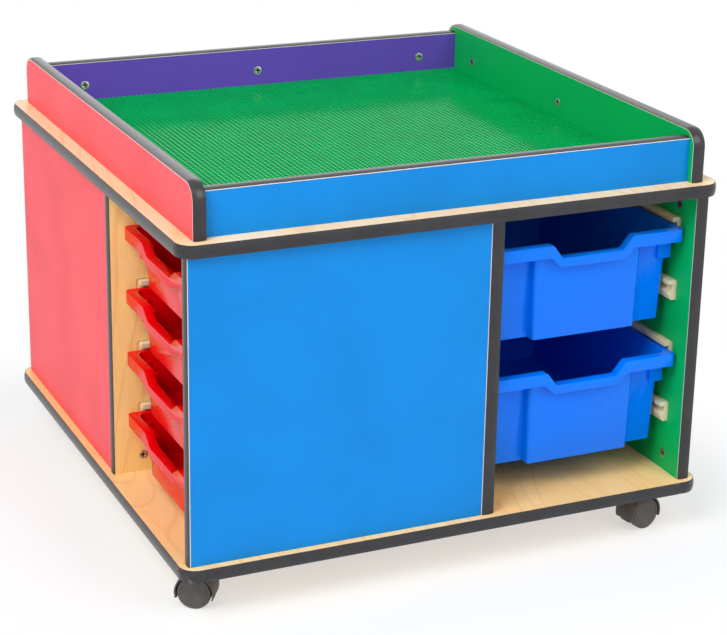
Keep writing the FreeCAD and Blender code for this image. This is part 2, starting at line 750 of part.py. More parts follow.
runner_master = runner()
runner_middle = value(f"(runner_setback + {BAY_DEPTH} - runner_back_gap) / 2 - {FACE}")
bay_centre = Vector(value(BAY_MIDDLE), runner_middle, 0)
half_turn = Placement(bay_centre, Rotation(Vector(0, 0, 1), 180))
other_wall = half_turn.multiply(Placement(-bay_centre, Rotation()))
for quarter, side in enumerate(SIDES):
    turned = Placement(Vector(), Rotation(Vector(0, 0, 1), QUARTER_TURN * quarter))
    rows = []
    for top in runner_tops():
        lifted = Placement(Vector(0, 0, value(f"{BASE_TOP} + {top}")), Rotation())
        rows += [turned.multiply(lifted), turned.multiply(lifted).multiply(other_wall)]
    hand_in(copies(f"{side}_runners", runner_master, rows))

# Trays: thin moulded boxes hung by their rims, with a hand dip in the front lip and a raised front panel.
# A shallow tray hangs at each level, and a deep one takes the room of two and hangs from the upper one.


def tray(label, height, dip_width, dip_floor, dip_depth, label_slits=False):
    """A tray in the front bay, with the top of its rim at zero height."""
    body = new_body(label)
    lip_line = f"(tray_setback - {FACE})"
    rim_back = f"({lip_line} + {TRAY_DEPTH})"
    shoulder_line = f"({lip_line} + tray_shoulder_setback)"
    corner_line = f"({lip_line} + tray_corner_setback)"
    body_back = f"({rim_back} - tray_rim_back)"
    front_line = f"({lip_line} + tray_front_setback)"
    corner_end = f"({corner_line} + tray_corner_radius)"
    front_back = f"({corner_end} + tray_corner_radius)"
    inner_radius = "(tray_corner_radius - tray_wall)"

    def around(half):
        return f"({BAY_MIDDLE} - ({half}))", f"({BAY_MIDDLE} + ({half}))"

    def rim(sketch, inset):
        rounded_rectangle(sketch, *around(f"{TRAY_WIDTH} / 2 - {inset}"), f"{lip_line} + {inset}",
                          f"{rim_back} - {inset}", f"tray_rim_radius - {inset}")

    top = new_sketch(body, "XY_Plane")
    rim(top, "0")
    extrude(body, top, "tray_rim_thickness", True)
    skirt = new_sketch(body, "XY_Plane")
    rim(skirt, "0")
    rim(skirt, "tray_wall")
    extrude(body, skirt, "tray_rim_height", True)
    lip = new_sketch(body, "XY_Plane")
    outer, inner = (arch(lip, around(f"{TRAY_WIDTH} / 2 - {inset}"), f"({lip_line} + tray_lip_return)",
                         f"({lip_line} + {inset})", f"(tray_rim_radius - {inset})")
                    for inset in ("0", "tray_lip_thickness"))
    bridge(lip, (outer, 1), (inner, 1))
    bridge(lip, (outer + 4, 2), (inner + 4, 2))
    extrude(body, lip, "tray_lip_height", True)

    shell = new_sketch(body, "XY_Plane")
    rounded_rectangle(shell, *around(f"{TRAY_BODY} / 2"), corner_line, body_back, "tray_corner_radius")
    extrude(body, shell, height, True, "-tray_draft")
    front = new_sketch(body, "XY_Plane")
    rounded_rectangle(front, *around("tray_front_width / 2"), front_line, front_back, "tray_front_radius")
    extrude(body, front, height, True, "-tray_front_draft")
    shoulder = new_sketch(body, "XY_Plane")
    rounded_rectangle(shoulder, *around(f"{TRAY_BODY} / 2"), shoulder_line, front_back,
                      "tray_corner_radius")
    extrude(body, shoulder, "tray_shoulder_height", True)
    wings = new_sketch(body, "XY_Plane")
    for sign in (-1, 1):
        ends = sorted((f"{BAY_MIDDLE} + ({sign}) * ({TRAY_BODY} / 2 - tray_wing_width)",
                       f"{BAY_MIDDLE} + ({sign}) * {TRAY_BODY} / 2"), key=value)
        rectangle(wings, *ends, f"{lip_line} + tray_wing_setback", corner_end)
    extrude(body, wings, "tray_wing_height", True)

    inside = new_sketch(body, "XY_Plane")
    rounded_rectangle(inside, *around(f"{TRAY_BODY} / 2 - tray_wall"), f"{corner_line} + tray_wall",
                      f"{body_back} - tray_wall", inner_radius)
    extrude(body, inside, f"{height} - tray_floor", True, "-tray_draft", cut=True)
    front_inside = new_sketch(body, "XY_Plane")
    rounded_rectangle(front_inside, *around("tray_front_width / 2 - tray_wall"),
                      f"{front_line} + tray_wall", front_back, "tray_front_radius - tray_wall")
    extrude(body, front_inside, f"{height} - tray_floor", True, "-tray_front_draft", cut=True)
    shoulder_inside = new_sketch(body, "XY_Plane")
    rounded_rectangle(shoulder_inside, *around(f"{TRAY_BODY} / 2 - tray_wall"),
                      f"{shoulder_line} + tray_wall", front_back, inner_radius)
    extrude(body, shoulder_inside, "tray_shoulder_height - tray_wall", True, cut=True)

    lip_offset = f"-{lip_line}"
    width, floor = f"({dip_width} / 2)", f"({dip_floor} / 2)"
    run = f"({width} - {floor})"

    def dip_line(depth, spread, drop, from_left):
        """The line of the dip from one end to the other, moved out and down. Each bend is cut across."""
        half = [(f"{width} + dip_bend", "0"), (f"{width} - dip_bend_share * {run}", "dip_bend_share"),
                (f"{floor} + dip_bend_share * {run}", "1 - dip_bend_share"), (f"{floor} - dip_bend", "1")]
        signs = ((-1, half), (1, half[::-1])) if from_left else ((1, half), (-1, half[::-1]))
        return [(f"{BAY_MIDDLE} + ({sign}) * ({x} + {spread})", f"-({share}) * {depth} - {drop}")
                for sign, points in signs for x, share in points]

    edge = dip_line(dip_depth, "0", "0", True)
    dip = new_sketch(body, "XZ_Plane", lip_offset)
    outline(dip, [(edge[0][0], "tray_rim_thickness"), *edge, (edge[-1][0], "tray_rim_thickness")])
    extrude(body, dip, "tray_front_setback + 2 * tray_wall", True, cut=True)
    ledge = new_sketch(body, "XZ_Plane", lip_offset)
    outline(ledge, edge + dip_line(dip_depth, "dip_lip_margin", "tray_rim_thickness", False))
    extrude(body, ledge, "tray_front_setback + tray_wall", True)
    apron = new_sketch(body, "XZ_Plane", lip_offset)
    apron_depth = f"({dip_depth} + dip_lip_height - tray_lip_height)"
    outline(apron, edge + dip_line(apron_depth, "dip_lip_margin", "tray_lip_height", False))
    extrude(body, apron, "tray_lip_thickness", True)
    if label_slits:
        slits = new_sketch(body, "XZ_Plane", f"tray_wall - {front_line}")
        for sign in (-1, 1):
            middle = f"({BAY_MIDDLE} + ({sign}) * label_slit_spread / 2)"
            high, low = "-label_slit_top", "-(label_slit_top + label_slit_length)"
            half, lean = "label_slit_width / 2", f"({sign}) * label_slit_lean"
            outline(slits, [(f"{middle} - {half}", low), (f"{middle} + {half}", low),
                            (f"{middle} + {half} + {lean}", high), (f"{middle} - {half} + {lean}", high)])
        extrude(body, slits, "4 * tray_wall", True, cut=True)
    return body


def rim_height(level):
    """Height of a tray's rim: its rim stands on the shelf of the runners at that level."""
    shelf = f"{BASE_TOP} + {runner_tops()[level]} - runner_shelf_drop"
    return f"{shelf} + {RIM_ON_SHELF}"


deep_tray = tray("deep_tray_master", DEEP_HEIGHT, "deep_dip_width", "deep_dip_floor", "deep_dip_depth")
shallow_tray = tray("shallow_tray_master", SHALLOW_HEIGHT, "shallow_dip_width", "shallow_dip_floor",
                    "shallow_dip_depth", label_slits=True)
for quarter, side in enumerate(SIDES):
    turn = QUARTER_TURN * quarter
    if side in ("front", "back"):
        for name, level in zip(DEEP_TRAYS, range(1, RUNNER_LEVELS, 2)):
            hand_in(placed(f"{side}_deep_tray_{name}", [deep_tray], turn, z=rim_height(level)))
    else:
        for level in range(RUNNER_LEVELS):
            label = f"{side}_shallow_tray_{level + 1}"
            hand_in(placed(label, [shallow_tray], turn, z=rim_height(level)))

# Cam fittings: a round cam in the face of each upright board grips a bolt that stands in a square board


def cam():
    """A cam that runs along +Y from its slotted face, which has its middle at the origin."""
    body = bar("cam_body", "cam_diameter / 2", "cam_depth", along="Y")
    slots = []
    for name, x, z in (("cam_slot_flat", "cam_slot_length", "cam_slot_width"),
                       ("cam_slot_upright", "cam_slot_width", "cam_slot_length")):
        slots.append(block(name, (f"-{x} / 2", "-cam_clearance", f"-{z} / 2"),
                           (f"{x} / 2", "cam_slot_depth", f"{z} / 2")))
    return combine("Cut", "cam_master", body, fuse("cam_slots", slots))


def bolt():
    """A bolt that bites into a square board below the origin and reaches up to a cam's side."""
    reach = "(bolt_bite - bolt_clearance) + (cam_edge_inset - cam_diameter / 2 - bolt_cam_gap)"
    return bar("bolt_master", "bolt_diameter / 2", reach, z="-(bolt_bite - bolt_clearance)")


cam_master, bolt_master = cam(), bolt()
doc.recompute()
cam_spots, bolt_spots = [], []
upside_down = Rotation(Vector(1, 0, 0), 180)
facing_out = {"panel": Rotation(Vector(0, 0, 1), 180), "divider": Rotation(Vector(0, 0, 1), QUARTER_TURN)}
base_level, top_level = value(BASE_TOP), value(TOP_UNDERSIDE)
surface_level, cam_rise = value(TOP_SURFACE), value("cam_edge_inset")
bay_wall, divider_face = value(BAY_WALL), value(DIVIDER_FACE)


def in_plan(spots):
    return [Vector(value(x), value(y), 0) for x, y in spots]


carcass_spots = in_plan(carcass_bolt_spots())
for quarter in range(4):
    turned = Placement(Vector(), Rotation(Vector(0, 0, 1), QUARTER_TURN * quarter))
    for index, spot in enumerate(carcass_spots):
        on_panel = index < len(panel_cams())
        faced = facing_out["panel" if on_panel else "divider"]
        face_spot = Vector(spot.x, -bay_wall, 0) if on_panel else Vector(divider_face, spot.y, 0)
        for level, side_of_cam, stance in ((base_level, 1, Rotation()), (top_level, -1, upside_down)):
            bolt_spots.append(turned.multiply(Placement(spot + Vector(0, 0, level), stance)))
            height = Vector(0, 0, level + side_of_cam * cam_rise)
            cam_spots.append(turned.multiply(Placement(face_spot + height, faced)))
upstand_spots = in_plan(upstand_bolt_spots())
well_side, well_front = value(WELL_SIDE), value(WELL_FRONT)
for turn in (0, 180):
    turned = Placement(Vector(), Rotation(Vector(0, 0, 1), turn))
    for index, spot in enumerate(upstand_spots):
        on_side = index < len(upstand_spots) // 2
        faced = facing_out["divider" if on_side else "panel"]
        face_spot = Vector(-well_side, spot.y, 0) if on_side else Vector(spot.x, -well_front, 0)
        foot, height = Vector(0, 0, surface_level), Vector(0, 0, surface_level + cam_rise)
        bolt_spots.append(turned.multiply(Placement(spot + foot, Rotation())))
        cam_spots.append(turned.multiply(Placement(face_spot + height, faced)))
hand_in(copies("cam_locks", cam_master, cam_spots), copies("cam_bolts", bolt_master, bolt_spots))

# Castors: a screwed plate with a stem, a hood that swivels on the stem, and two wheels on one axle.
# Each is drawn with its stem on the Z axis and its wheels trailing along +X, then put in its corner.


def castor_plate():
    half = "castor_plate_width / 2"
    plate = block("plate_sheet", (f"-{half}", f"-{half}", PLATE_UNDERSIDE), (half, half, "castor_height"))
    stem_length = f"{PLATE_UNDERSIDE} - stem_drop + castor_plate_thickness / 2"
    stem = bar("plate_stem", "stem_diameter / 2", stem_length, z="stem_drop")
    holes = []
    for x in ("-castor_screw_spread / 2", "castor_screw_spread / 2"):
        for y in ("-castor_screw_spread / 2", "castor_screw_spread / 2"):
            holes.append(bar("plate_hole", SCREW_HOLE, "castor_height", x, y))
    solid = fuse("plate_and_stem", [plate, stem])
    return combine("Cut", "castor_plate_master", solid, fuse("plate_holes", holes))


def castor_screw():
    """A screw up through the plate into the base board, with its head under the plate."""
    head = bar("screw_head", "screw_head_diameter / 2", "screw_head_height",
               z=f"{PLATE_UNDERSIDE} - screw_head_height")
    length = "castor_plate_thickness + screw_bite - screw_clearance"
    shank = bar("screw_shank", "screw_diameter / 2", length, z=PLATE_UNDERSIDE)
    return fuse("castor_screw_master", [head, shank])


def castor_hood():
    """A fender over both wheels, a web with the axle's bearing, a boss round the stem and a pin hole."""
    width = "castor_width / 2"
    drum = bar("hood_drum", HOOD_RADIUS, "castor_width", "castor_trail", f"-{width}", WHEEL_RADIUS, "Y")
    boss_top = f"({PLATE_UNDERSIDE} - hood_plate_gap)"
    boss = bar("hood_boss", "hood_boss_diameter / 2", "hood_boss_depth", z=f"{boss_top} - hood_boss_depth")
    space = f"({WHEEL_RADIUS} + hood_clearance)"
    web = f"({HOOD_WEB} / 2)"
    wheel_room = f"{width} - {web} + hood_clearance"
    near_end = f"-{width} - hood_clearance"
    bore_foot = "stem_drop - hood_wall"
    before, behind = f"castor_trail - 2 * {HOOD_RADIUS}", f"castor_trail + 2 * {HOOD_RADIUS}"
    cuts = [bar("hood_near_space", space, wheel_room, "castor_trail", near_end, WHEEL_RADIUS, "Y"),
            bar("hood_far_space", space, wheel_room, "castor_trail", web, WHEEL_RADIUS, "Y"),
            bar("hood_stem_bore", "stem_diameter / 2 + running_clearance", f"castor_height - ({bore_foot})",
                z=bore_foot),
            bar("hood_axle_bore", "axle_diameter / 2 + running_clearance", "castor_width", "castor_trail",
                f"-{width}", WHEEL_RADIUS, "Y"),
            bar("hood_pin_hole", "hood_hole_diameter / 2", f"2 * {HOOD_RADIUS}",
                f"castor_trail + {HOOD_RADIUS} - hood_hole_depth", z=f"{WHEEL_RADIUS} + hood_hole_rise",
                along="X"),
            block("hood_below", (before, "-castor_width", f"-{HOOD_RADIUS}"),
                  (behind, "castor_width", f"{WHEEL_RADIUS} - hood_drop"))]
    return combine("Cut", "castor_hood_master", fuse("hood_solid", [drum, boss]), fuse("hood_cuts", cuts))


def castor_wheel():
    """The far wheel, turned about the axle: rounded outer edge, closed outer face, blind bore."""
    body = new_body("far_wheel_master")
    sketch = new_sketch(body, "XY_Plane", WHEEL_RADIUS, "castor_trail")
    inner, outer = "wheel_gap / 2", "(castor_width / 2)"
    bore, bore_end = "axle_diameter / 2 + running_clearance", f"{outer} - wheel_cap"
    sagitta = "(1 - sqrt(0.5)) * wheel_edge_radius"
    bend = (2, (f"{WHEEL_RADIUS} - {sagitta}", f"{outer} - {sagitta}"), "wheel_edge_radius")
    outline(sketch, [(bore, inner), (WHEEL_RADIUS, inner), (WHEEL_RADIUS, f"{outer} - wheel_edge_radius"),
                     (f"{WHEEL_RADIUS} - wheel_edge_radius", outer), ("0", outer), ("0", bore_end),
                     (bore, bore_end)], bend)
    doc.recompute()
    turned = body.newObject("PartDesign::Revolution", "wheel_turned")
    turned.Profile = sketch
    turned.ReferenceAxis = (sketch, ["V_Axis"])
    turned.Angle = 360
    doc.recompute()
    return body


axle_half = "(castor_width / 2 - wheel_cap - axle_end_gap)"
axle_master = bar("castor_axle_master", "axle_diameter / 2", f"2 * {axle_half}", "castor_trail",
                  f"-{axle_half}", WHEEL_RADIUS, "Y")
far_wheel = castor_wheel()
wheel_masters = [far_wheel, placed("near_wheel_master", [far_wheel], 180, "2 * castor_trail")]
hood_master = castor_hood()
plate_master, screw_master = castor_plate(), castor_screw()
doc.recompute()

castor_reach = f"({BOARD_EDGE} - castor_inset)"
plate_spots, screw_spots = [], []
for corner, (x_sign, y_sign) in CASTOR_CORNERS.items():
    x, y = f"({x_sign}) * {castor_reach}", f"({y_sign}) * {castor_reach}"
    middle = Vector(value(x), value(y), 0)
    plate_spots.append(Placement(middle, Rotation()))
    half_spread = value("castor_screw_spread / 2")
    for step_x, step_y in CASTOR_CORNERS.values():
        screw_spots.append(Placement(middle + Vector(step_x, step_y, 0) * half_spread, Rotation()))
    swivel = CASTOR_SWIVEL[corner]
    hand_in(placed(f"castor_hood_{corner}", [hood_master], swivel, x, y),
            placed(f"castor_wheels_{corner}", wheel_masters, swivel, x, y),
            placed(f"castor_axle_{corner}", [axle_master], swivel, x, y))
hand_in(copies("castor_plates", plate_master, plate_spots))
hand_in(copies("castor_screws", screw_master, screw_spots))

# Every object is checked before any file is written

doc.recompute()
for item in doc.Objects:
    if "Invalid" in item.State or "Error" in item.State:
        raise RuntimeError(f"{item.Label} failed: {item.State}")
for label, piece in nodes.items():
    if piece.Shape.isNull() or not piece.Shape.isValid():
        raise RuntimeError(f"{label} has no valid shape")

os.makedirs("parts", exist_ok=True)
for label, piece in nodes.items():
    piece.Shape.exportStep(f"parts/{label}.step")
    box = piece.Shape.BoundBox
    print(f"{label:32s} solids {len(piece.Shape.Solids):3d}  volume {piece.Shape.Volume:12.1f}  "
          f"z {box.ZMin:7.2f} to {box.ZMax:7.2f}")
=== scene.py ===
import json
import math

import bmesh
import bpy
from mathutils import Matrix, Vector


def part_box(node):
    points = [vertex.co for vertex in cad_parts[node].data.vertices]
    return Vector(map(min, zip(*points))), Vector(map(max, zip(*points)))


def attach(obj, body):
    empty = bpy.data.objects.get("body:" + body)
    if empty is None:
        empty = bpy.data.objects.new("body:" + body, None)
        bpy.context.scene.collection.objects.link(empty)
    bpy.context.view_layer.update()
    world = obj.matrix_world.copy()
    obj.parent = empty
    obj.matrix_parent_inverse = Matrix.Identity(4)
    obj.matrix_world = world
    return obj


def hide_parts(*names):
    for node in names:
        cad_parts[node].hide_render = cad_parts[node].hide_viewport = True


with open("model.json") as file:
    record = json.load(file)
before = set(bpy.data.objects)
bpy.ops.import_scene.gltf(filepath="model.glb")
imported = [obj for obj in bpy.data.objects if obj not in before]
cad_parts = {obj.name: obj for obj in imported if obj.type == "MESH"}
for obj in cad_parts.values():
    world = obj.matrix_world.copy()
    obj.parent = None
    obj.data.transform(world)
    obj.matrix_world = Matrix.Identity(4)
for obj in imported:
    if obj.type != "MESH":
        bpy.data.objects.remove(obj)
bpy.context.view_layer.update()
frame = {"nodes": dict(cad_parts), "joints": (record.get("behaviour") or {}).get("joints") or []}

# Base board and table top
# Two square boards of chipboard faced with maple-effect melamine, cut with rounded corners. The base
# carries the castors and the uprights, and the top is drawn down onto the uprights by cam fittings.

nodes = frame["nodes"]


class Wire:
    """One socket of a node tree. Sums and comparisons on it add Math nodes to its tree."""

    def __init__(self, tree, socket):
        self.tree = tree
        self.socket = socket

    def maths(self, operation, *others):
        """A Math node on this wire and on others, or on numbers."""
        return self.tree.node("ShaderNodeMath", {"operation": operation}, dict(enumerate((self, *others))))

    def __add__(self, other):
        return self.maths("ADD", other)

    def __sub__(self, other):
        return self.maths("SUBTRACT", other)

    def __rsub__(self, other):
        return self.maths("MULTIPLY", -1.0).maths("ADD", other)

    def __mul__(self, other):
        return self.maths("MULTIPLY", other)

    def __pow__(self, other):
        return self.maths("POWER", other)

    def __gt__(self, other):
        return self.maths("GREATER_THAN", other)

    def __lt__(self, other):
        return self.maths("LESS_THAN", other)

    def __abs__(self):
        return self.maths("ABSOLUTE")

    __radd__ = __add__
    __rmul__ = __mul__

    def ramp(self, low, high):
        """0 at low and 1 at high, with a soft rise between them."""
        sockets = {"Value": self, "From Min": low, "From Max": high}
        return self.tree.node("ShaderNodeMapRange", {"interpolation_type": "SMOOTHSTEP"}, sockets)


class Tree:
    """A node tree, with one method that adds every kind of node."""

    def __init__(self, tree):
        self.tree = tree

    def node(self, kind, settings=None, sockets=None, output=0):
        """Adds a node, with its settings first and then its sockets, and gives one of its outputs."""
        added = self.tree.nodes.new(kind)
        for name, setting in (settings or {}).items():
            setattr(added, name, setting)
        for name, given in (sockets or {}).items():
            self.feed(added.inputs[name], given)
        return Wire(self, added.outputs[output])

    def feed(self, socket, given):
        """Links a wire to a socket, or sets the socket's own value."""
        if isinstance(given, Wire):
            self.tree.links.new(given.socket, socket)
        else:
            socket.default_value = given


class Finish(Tree):
    """A procedural material on the pieces' own coordinates, in metres."""

    def __init__(self, name):
        self.material = bpy.data.materials.new(name)
        self.material.use_nodes = True
        super().__init__(self.material.node_tree)
        self.shader = self.tree.nodes["Principled BSDF"]

    def place(self, scale=(1, 1, 1)):
        """The coordinates, stretched."""
        spot = self.node("ShaderNodeTexCoord", output="Object")
        return self.node("ShaderNodeMapping", None, {"Vector": spot, "Scale": scale})

    def along(self, direction):
        """How far a point lies along a direction."""
        settings = {"operation": "DOT_PRODUCT"}
        return self.node("ShaderNodeVectorMath", settings, {0: self.place(), 1: direction}, "Value")

    def noise(self, scale, detail=2.0, roughness=0.5, distortion=0.0):
        """Noise with so many waves to the metre, along each axis where scale gives three numbers."""
        stretch = scale if isinstance(scale, tuple) else (scale, scale, scale)
        sockets = {"Vector": self.place(stretch), "Scale": 1.0, "Detail": detail, "Roughness": roughness,
                   "Distortion": distortion}
        return self.node("ShaderNodeTexNoise", None, sockets)

    def mix(self, first, second, share):
        """A colour between two others."""
        return self.node("ShaderNodeMix", {"data_type": "RGBA"}, {0: share, 6: first, 7: second}, 2)

    def bump(self, height, strength, distance):
        """The normal of a surface with fine relief."""
        sockets = {"Height": height, "Strength": strength, "Distance": distance}
        return self.node("ShaderNodeBump", None, sockets)

    def show(self, **sockets):
        """Feeds the shader, with underscores for the spaces in its sockets' names."""
        for name, given in sockets.items():
            self.feed(self.shader.inputs[name.replace("_", " ")], given)
        return self


def paint(red, green, blue):
    """A screen colour from 0 to 255, as the shader's linear colour."""
    parts = [value / 255 for value in (red, green, blue)]
    return [c / 12.92 if c <= 0.04045 else ((c + 0.055) / 1.055) ** 2.4 for c in parts] + [1.0]


def coat(piece, finish):
    """Gives a finish to one object."""
    piece.data.materials.clear()
    piece.data.materials.append(finish.material)


def dress(names, finish):
    """Gives a finish to CAD nodes."""
    for name in names:
        coat(nodes[name], finish)


GRAIN_TO_BACK = 1
GROWTH_RINGS = 24.0
MAPLE_LINE = paint(240, 180, 112)
MAPLE_FIBRE = paint(226, 170, 110)
MAPLE_FLECK = paint(206, 148, 94)


def maple(name, grain, pale, deep):
    """Printed maple: growth lines and fine fibres along one axis, under a satin resin film."""
    finish = Finish(name)

    def stretched(across, along):
        return tuple(along if axis == grain else across for axis in range(3))

    rings = finish.noise(stretched(5.0, 0.9), detail=1.5, roughness=0.4, distortion=0.3) * GROWTH_RINGS
    lines = abs(rings.maths("FRACT") - 0.5).ramp(0.38, 0.5)
    fibres = finish.noise(stretched(420.0, 9.0), roughness=0.6)
    clouds = finish.noise(stretched(9.0, 1.4), detail=3.0)
    flecks = finish.noise(stretched(700.0, 60.0), detail=1.0).ramp(0.64, 0.74)
    body = finish.mix(pale, deep, clouds.ramp(0.3, 0.7))
    lined = finish.mix(body, MAPLE_LINE, lines * 0.4)
    fibred = finish.mix(lined, MAPLE_FIBRE, fibres.ramp(0.45, 0.8) * 0.22)
    flecked = finish.mix(fibred, MAPLE_FLECK, flecks * 0.2)
    film = finish.noise(900.0)
    return finish.show(Base_Color=flecked, Roughness=0.36 + fibres * 0.1, Specular_IOR_Level=0.25,
                       Normal=finish.bump(film, strength=0.05, distance=0.0004))


# The base board's maple is printed deeper orange than the top's as painted shade for the bay floors, and the
# top's is printed paler and bluer as a painted reflection of the back lamp.
dress(["base_board"], maple("maple_base_painted_shade", GRAIN_TO_BACK, paint(255, 219, 158), paint(254, 206, 137)))
dress(["table_top"], maple("maple_top_painted_sheen", GRAIN_TO_BACK, paint(255, 227, 184), paint(254, 216, 164)))

# Edging
# A black plastic strip with a domed face, pushed by its barbed tongue into a slot round each board.
# It is bent round the corners, and the corners near the floor are the ones that get scuffed.

SIDES = ("front", "right", "back", "left")
TO_RIGHT = (1, 0, 0)
TO_BACK = (0, 1, 0)
EDGING_BLACK = paint(36, 35, 38)
EDGING_WORN = paint(44, 43, 46)
EDGING_RUBBED = paint(140, 138, 136)
# Where the rubbing of a corner starts and is full: the distances from the middle along X and Y, added.
RUBBED_CORNER = (0.79, 0.83)


def edging(name, scuffed):
    """Black plastic, near even, with fine scratches. The scuffed one has pale rubbed corners."""
    finish = Finish(name)
    grime = finish.noise(24.0, detail=4.0, roughness=0.6)
    scratches = finish.noise((40.0, 40.0, 900.0), detail=3.0, roughness=0.6)
    colour = finish.mix(EDGING_BLACK, EDGING_WORN, grime.ramp(0.35, 0.7))
    if scuffed:
        corner = (abs(finish.along(TO_RIGHT)) + abs(finish.along(TO_BACK))).ramp(*RUBBED_CORNER)
        rubbed = corner * finish.noise(95.0, detail=4.0, roughness=0.65).ramp(0.54, 0.68)
        colour = finish.mix(colour, EDGING_RUBBED, rubbed * 0.5)
    return finish.show(Base_Color=colour, Roughness=0.25 + 0.1 * grime,
                       Normal=finish.bump(scratches, strength=0.04, distance=0.0003))


plain_edging = edging("black_edging", scuffed=False)
scuffed_edging = edging("scuffed_edging", scuffed=True)
dress(["base_board_edging"], scuffed_edging)
dress(["table_top_edging", "panel_edging", "divider_edging"], plain_edging)
dress([f"{side}_upstand_edging" for side in SIDES], plain_edging)

# Coloured panels
# Four upright boards of chipboard faced with coloured melamine, one colour on each side of the table.
# The saw leaves a hair of pale core in sight at both ends, beside the edging.

PANEL_COLOURS = {"front": paint(2, 131, 213), "right": paint(0, 174, 88),
                 "back": paint(98, 74, 182), "left": paint(246, 82, 92)}
DUST_COLOUR = paint(230, 232, 235)
CORE_COLOUR = paint(232, 222, 209)
CORE_LINE = 0.0011


def shade(colour, factor):
    """The same colour, lighter or darker."""
    return [factor * part for part in colour[:3]] + [1.0]


def melamine(name, colour, core):
    """Coloured melamine, where core gives the mask of the pale core line."""
    finish = Finish(name)
    cloud = finish.noise(7.0, detail=3.0)
    grain = finish.noise(1100.0, roughness=0.6)
    dust = finish.noise(420.0, detail=1.0).ramp(0.74, 0.8)
    body = finish.mix(shade(colour, 1.03), shade(colour, 0.93), cloud.ramp(0.35, 0.75))
    dusted = finish.mix(body, DUST_COLOUR, dust * 0.1)
    lined = finish.mix(dusted, CORE_COLOUR, core(finish))
    return finish.show(Base_Color=lined, Roughness=0.4 + cloud * 0.08, Specular_IOR_Level=0.2,
                       Normal=finish.bump(grain, strength=0.08, distance=0.0003))


def panel_core(quarter):
    """Both ends of a panel, which runs from the corner of the carcass to the back of a divider."""
    angle = math.radians(90 * quarter)
    direction = (round(math.cos(angle)), round(math.sin(angle)), 0)
    low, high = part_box("front_panel")

    def mask(finish):
        place = finish.along(direction)
        return (place < low.x + CORE_LINE) + (place > high.x - CORE_LINE)

    return mask


for quarter, side in enumerate(SIDES):
    dress([f"{side}_panel"], melamine(f"{side}_panel_melamine", PANEL_COLOURS[side], panel_core(quarter)))

# Dividers
# Four plain boards of maple-effect chipboard with the grain upright. Each closes the inner side of one
# bay, and cam fittings hold it to the base and the top.

GRAIN_UPRIGHT = 2
# The uprights' maple is printed deeper orange than the top's, as painted shade in the bays and a painted red
# reflection from the panels.
maple_upright_painted_shade = maple("maple_upright_painted_shade", GRAIN_UPRIGHT, paint(255, 226, 152), paint(253, 213, 130))
dress([f"{side}_divider" for side in SIDES], maple_upright_painted_shade)

# Runners
# Cream plastic channels, pressed into routed grooves on both walls of a bay, so that a tray's rim slides
# in them. They are extruded, with faint lines along their length.

RUNNER_CREAM = paint(244, 232, 194)
RUNNER_YELLOWED = paint(231, 215, 172)


def runner_plastic():
    """Cream plastic, yellowed in clouds, with level lines."""
    finish = Finish("cream_runner_plastic")
    lines = finish.noise((3.0, 3.0, 900.0))
    tint = finish.noise(25.0, detail=3.0)
    colour = finish.mix(RUNNER_CREAM, RUNNER_YELLOWED, tint.ramp(0.3, 0.75))
    return finish.show(Base_Color=colour, Roughness=0.45 + tint * 0.1,
                       Normal=finish.bump(lines, strength=0.08, distance=0.0003))


dress([f"{side}_runners" for side in SIDES], runner_plastic())

# Trays
# Thin moulded plastic boxes that hang by their rims. Every edge is rounded as it comes from the mould,
# and the fronts carry the light scuffs of use.

TRAY_COLOURS = {"front": paint(0, 119, 249), "right": paint(0, 160, 70),
                "back": paint(96, 58, 186), "left": paint(230, 2, 10)}
TRAY_EDGE = 0.0011
SCUFF_KEEPS = 0.85
SCUFF_WHITENS = 0.1
MERGE_GAP = 2e-6
FLAT_ANGLE = math.radians(1)
SHARP_ANGLE = math.radians(32)
EDGE_SEGMENTS = 2


def plain_piece(name, draft):
    """The plain mesh piece that the modifiers of a draft make. The draft is removed."""
    evaluated = draft.evaluated_get(bpy.context.evaluated_depsgraph_get())
    piece = bpy.data.objects.new(name, bpy.data.meshes.new_from_object(evaluated))
    bpy.context.scene.collection.objects.link(piece)
    bpy.data.objects.remove(draft)
    return piece


def rounded_copy(node, name, edge):
    """A copy of a CAD node with its doubles merged, flat faces joined and sharp edges rounded."""
    mesh = nodes[node].data.copy()
    work = bmesh.new()
    work.from_mesh(mesh)
    bmesh.ops.remove_doubles(work, verts=work.verts, dist=MERGE_GAP)
    bmesh.ops.dissolve_limit(work, angle_limit=FLAT_ANGLE, verts=work.verts, edges=work.edges)
    for face in work.faces:
        face.smooth = True
    work.to_mesh(mesh)
    work.free()
    draft = bpy.data.objects.new(f"{name}_draft", mesh)
    bpy.context.scene.collection.objects.link(draft)
    bevel = draft.modifiers.new("rounding", "BEVEL")
    bevel.width = edge
    bevel.segments = EDGE_SEGMENTS
    bevel.limit_method = "ANGLE"
    bevel.angle_limit = SHARP_ANGLE
    bevel.use_clamp_overlap = True
    bevel.harden_normals = True
    return plain_piece(name, draft)


def tray_plastic(name, colour):
    """Glossy moulded plastic with a faint haze and light scuffs in patches."""
    finish = Finish(name)
    haze = finish.noise(16.0, detail=4.0, roughness=0.6)
    patches = finish.noise(11.0).ramp(0.5, 0.66)
    scuffs = finish.noise((160.0, 160.0, 22.0), detail=4.0, roughness=0.7).ramp(0.62, 0.7) * patches
    orange_peel = finish.noise(420.0)
    whitened = [SCUFF_KEEPS * part + SCUFF_WHITENS for part in colour[:3]] + [1.0]
    scuffed = finish.mix(colour, whitened, scuffs * 0.4)
    return finish.show(Base_Color=scuffed, Roughness=0.1 + haze * 0.1 + scuffs * 0.25,
                       Specular_IOR_Level=0.2,
                       Normal=finish.bump(orange_peel, strength=0.05, distance=0.0004))


